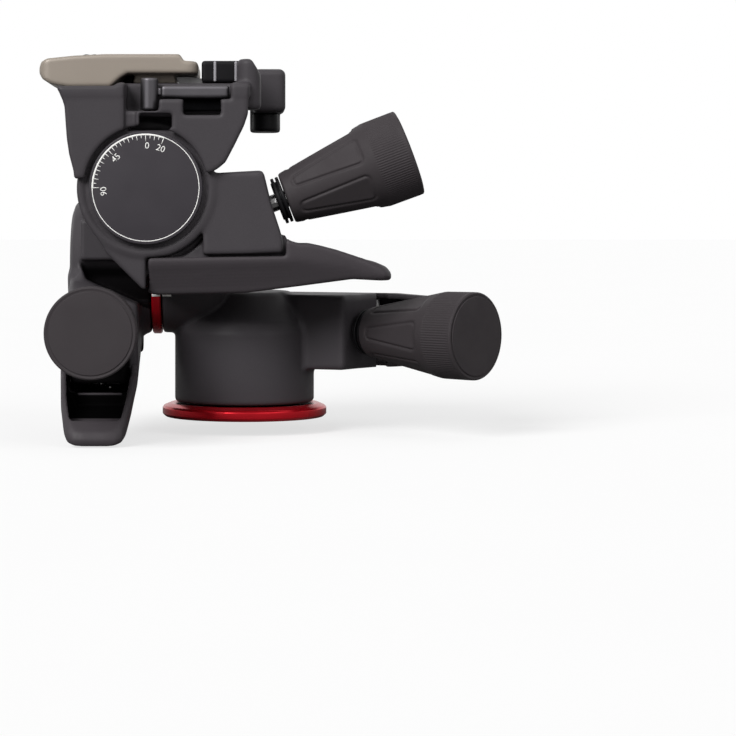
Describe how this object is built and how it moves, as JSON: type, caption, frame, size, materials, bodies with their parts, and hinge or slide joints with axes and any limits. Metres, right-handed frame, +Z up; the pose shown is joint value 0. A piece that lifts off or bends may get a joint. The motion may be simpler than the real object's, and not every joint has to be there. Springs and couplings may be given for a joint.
{
  "type": "geared tripod head",
  "caption": "Geared tripod head: knobs drive worm gears that pan, tilt sideways and tilt forwards; wing levers free each axis; a quick-release plate holds the camera.",
  "frame": {"origin": "centre of the base's lower face, on the pan axis", "axes": "+Z up along the pan axis, +X to the right and +Y away from the viewer of the picture"},
  "size_m": [0.1632, 0.1243, 0.1356],
  "materials": {
    "charcoal_casting": "fine textured charcoal paint",
    "red_anodised": "red anodised, smooth",
    "knob_rubber": "matt moulded grip",
    "black_plastic": "moulded, matt",
    "wing_plastic": "moulded, fine texture",
    "steel": "turned",
    "brass": "cut teeth and thread",
    "bronze_bush": "sintered bearing bronze",
    "warm_grey_alloy": "warm grey, satin",
    "plate_pad": "matt ribbed pad",
    "dial_face": "matt disc with white print",
    "level_liquid": "clear green-yellow vial"
  },
  "bodies": {
    "base": {"base_ring": "red_anodised", "base_plate": "charcoal_casting", "tripod_thread_insert": "brass", "pan_spindle": "steel", "pan_worm_wheel": "brass", "pan_spindle_nut": "steel"},
    "pan": {"pan_housing": "charcoal_casting", "pan_bush": "bronze_bush", "roll_ring": "red_anodised", "roll_spindle": "steel", "roll_worm_wheel": "brass", "roll_spindle_nut": "steel", "pan_lever_pin": "steel", "pan_lever_spring": "steel"},
    "roll": {"roll_housing": "charcoal_casting", "roll_bush": "bronze_bush", "tilt_housing": "charcoal_casting", "tilt_bush": "bronze_bush", "tilt_dial": "dial_face", "left_housing_screw": "steel", "right_housing_screw": "steel", "roll_lever_pin": "steel", "roll_lever_spring": "steel", "tilt_lever_pin": "steel", "tilt_lever_spring": "steel"},
    "tilt": {"tilt_platform": "charcoal_casting", "tilt_axle": "steel", "tilt_worm_wheel": "brass", "tilt_axle_nut": "steel", "clamp_lever_bolt": "steel", "level_holder": "black_plastic", "level_vial": "level_liquid"},
    "clamp_jaw": {"clamp_jaw": "steel"},
    "clamp_lever": {"clamp_lever": "charcoal_casting"},
    "safety_catch": {"safety_catch": "steel"},
    "camera_plate": {"camera_plate": "warm_grey_alloy", "plate_pad": "plate_pad"},
    "camera_screw": {"camera_screw": "steel"},
    "pan_carrier": {"pan_worm_carrier": "bronze_bush"},
    "pan_knob": {"pan_worm_shaft": "steel", "pan_knob": "knob_rubber", "pan_knob_cap": "black_plastic", "pan_collar": "black_plastic"},
    "pan_lever": {"pan_lever": "wing_plastic"},
    "roll_carrier": {"roll_worm_carrier": "bronze_bush"},
    "roll_knob": {"roll_worm_shaft": "steel", "roll_knob": "knob_rubber", "roll_knob_cap": "black_plastic", "roll_collar": "black_plastic"},
    "roll_lever": {"roll_lever": "wing_plastic"},
    "tilt_carrier": {"tilt_worm_carrier": "bronze_bush"},
    "tilt_knob": {"tilt_worm_shaft": "steel", "tilt_knob": "knob_rubber", "tilt_knob_cap": "black_plastic", "tilt_collar": "black_plastic"},
    "tilt_lever": {"tilt_lever": "wing_plastic"}
  },
  "joints": [
    {"name": "pan_turn", "type": "hinge", "parent": "base", "child": "pan", "pos_m": [0, 0, 0.0055], "axis": [0, 0, 1], "continuous": true},
    {"name": "side_tilt", "type": "hinge", "parent": "pan", "child": "roll", "pos_m": [-0.0338, 0, 0.055], "axis": [-1, 0, 0], "range_deg": [-20, 90]},
    {"name": "front_tilt", "type": "hinge", "parent": "roll", "child": "tilt", "pos_m": [-0.034, -0.04, 0.083], "axis": [0, -1, 0], "range_deg": [-20, 90]},
    {"name": "pan_lever_squeeze", "type": "hinge", "parent": "pan", "child": "pan_lever", "pos_m": [0.04906, 0.00965, 0.0313], "axis": [0, 0, -1], "range_deg": [0, 6]},
    {"name": "pan_worm_release", "type": "slide", "parent": "pan", "child": "pan_carrier", "axis": [0.6691, 0.7431, 0], "range_m": [0, 0.0023], "stiffness_N_per_m": 1650, "springref_m": -0.0033},
    {"name": "pan_knob_turn", "type": "hinge", "parent": "pan_carrier", "child": "pan_knob", "pos_m": [0.01372, 0.01523, 0.0313], "axis": [0.7431, -0.6691, 0], "continuous": true},
    {"name": "roll_lever_squeeze", "type": "hinge", "parent": "roll", "child": "roll_lever", "pos_m": [-0.051, -0.03, 0.015], "axis": [-1, 0, 0], "range_deg": [0, 6]},
    {"name": "roll_worm_release", "type": "slide", "parent": "roll", "child": "roll_carrier", "axis": [0, 0, -1], "range_m": [0, 0.0023], "stiffness_N_per_m": 1650, "springref_m": -0.0033},
    {"name": "roll_knob_turn", "type": "hinge", "parent": "roll_carrier", "child": "roll_knob", "pos_m": [-0.051, 0, 0.0345], "axis": [0, -1, 0], "continuous": true},
    {"name": "tilt_lever_squeeze", "type": "hinge", "parent": "roll", "child": "tilt_lever", "pos_m": [0.00816, -0.04, 0.05611], "axis": [0, -1, 0], "range_deg": [0, 6]},
    {"name": "tilt_worm_release", "type": "slide", "parent": "roll", "child": "tilt_carrier", "axis": [0.3518, 0, -0.9361], "range_m": [0, 0.0023], "stiffness_N_per_m": 1650, "springref_m": -0.0033},
    {"name": "tilt_knob_turn", "type": "hinge", "parent": "tilt_carrier", "child": "tilt_knob", "pos_m": [-0.02679, -0.04, 0.06381], "axis": [0.9361, 0, 0.3518], "continuous": true},
    {"name": "clamp_lever_turn", "type": "hinge", "parent": "tilt", "child": "clamp_lever", "pos_m": [0.0075, -0.006, 0.115], "axis": [0, 0, 1], "range_deg": [0, 90]},
    {"name": "jaw_slide", "type": "slide", "parent": "tilt", "child": "clamp_jaw", "axis": [1, 0, 0], "range_m": [0, 0.002]},
    {"name": "catch_turn", "type": "hinge", "parent": "tilt", "child": "safety_catch", "pos_m": [-0.0335, -0.0515, 0.11], "axis": [0, 0, -1], "range_deg": [0, 60]},
    {"name": "plate_slide", "type": "slide", "parent": "tilt", "child": "camera_plate", "axis": [0, 1, 0], "range_m": [0, 0.06]},
    {"name": "camera_screw_turn", "type": "hinge", "parent": "camera_plate", "child": "camera_screw", "pos_m": [-0.0315, -0.0205, 0.12], "axis": [0, 0, 1], "continuous": true}
  ],
  "couplings": [
    {"joint": "pan_knob_turn", "follows": "pan_turn", "ratio": -40},
    {"joint": "pan_lever_squeeze", "follows": "pan_worm_release", "rad_per_m": 45.45},
    {"joint": "roll_knob_turn", "follows": "side_tilt", "ratio": 40},
    {"joint": "roll_lever_squeeze", "follows": "roll_worm_release", "rad_per_m": 45.45},
    {"joint": "tilt_knob_turn", "follows": "front_tilt", "ratio": -40},
    {"joint": "tilt_lever_squeeze", "follows": "tilt_worm_release", "rad_per_m": 45.45},
    {"joint": "jaw_slide", "follows": "clamp_lever_turn", "m_per_rad": 0.00127}
  ]
}
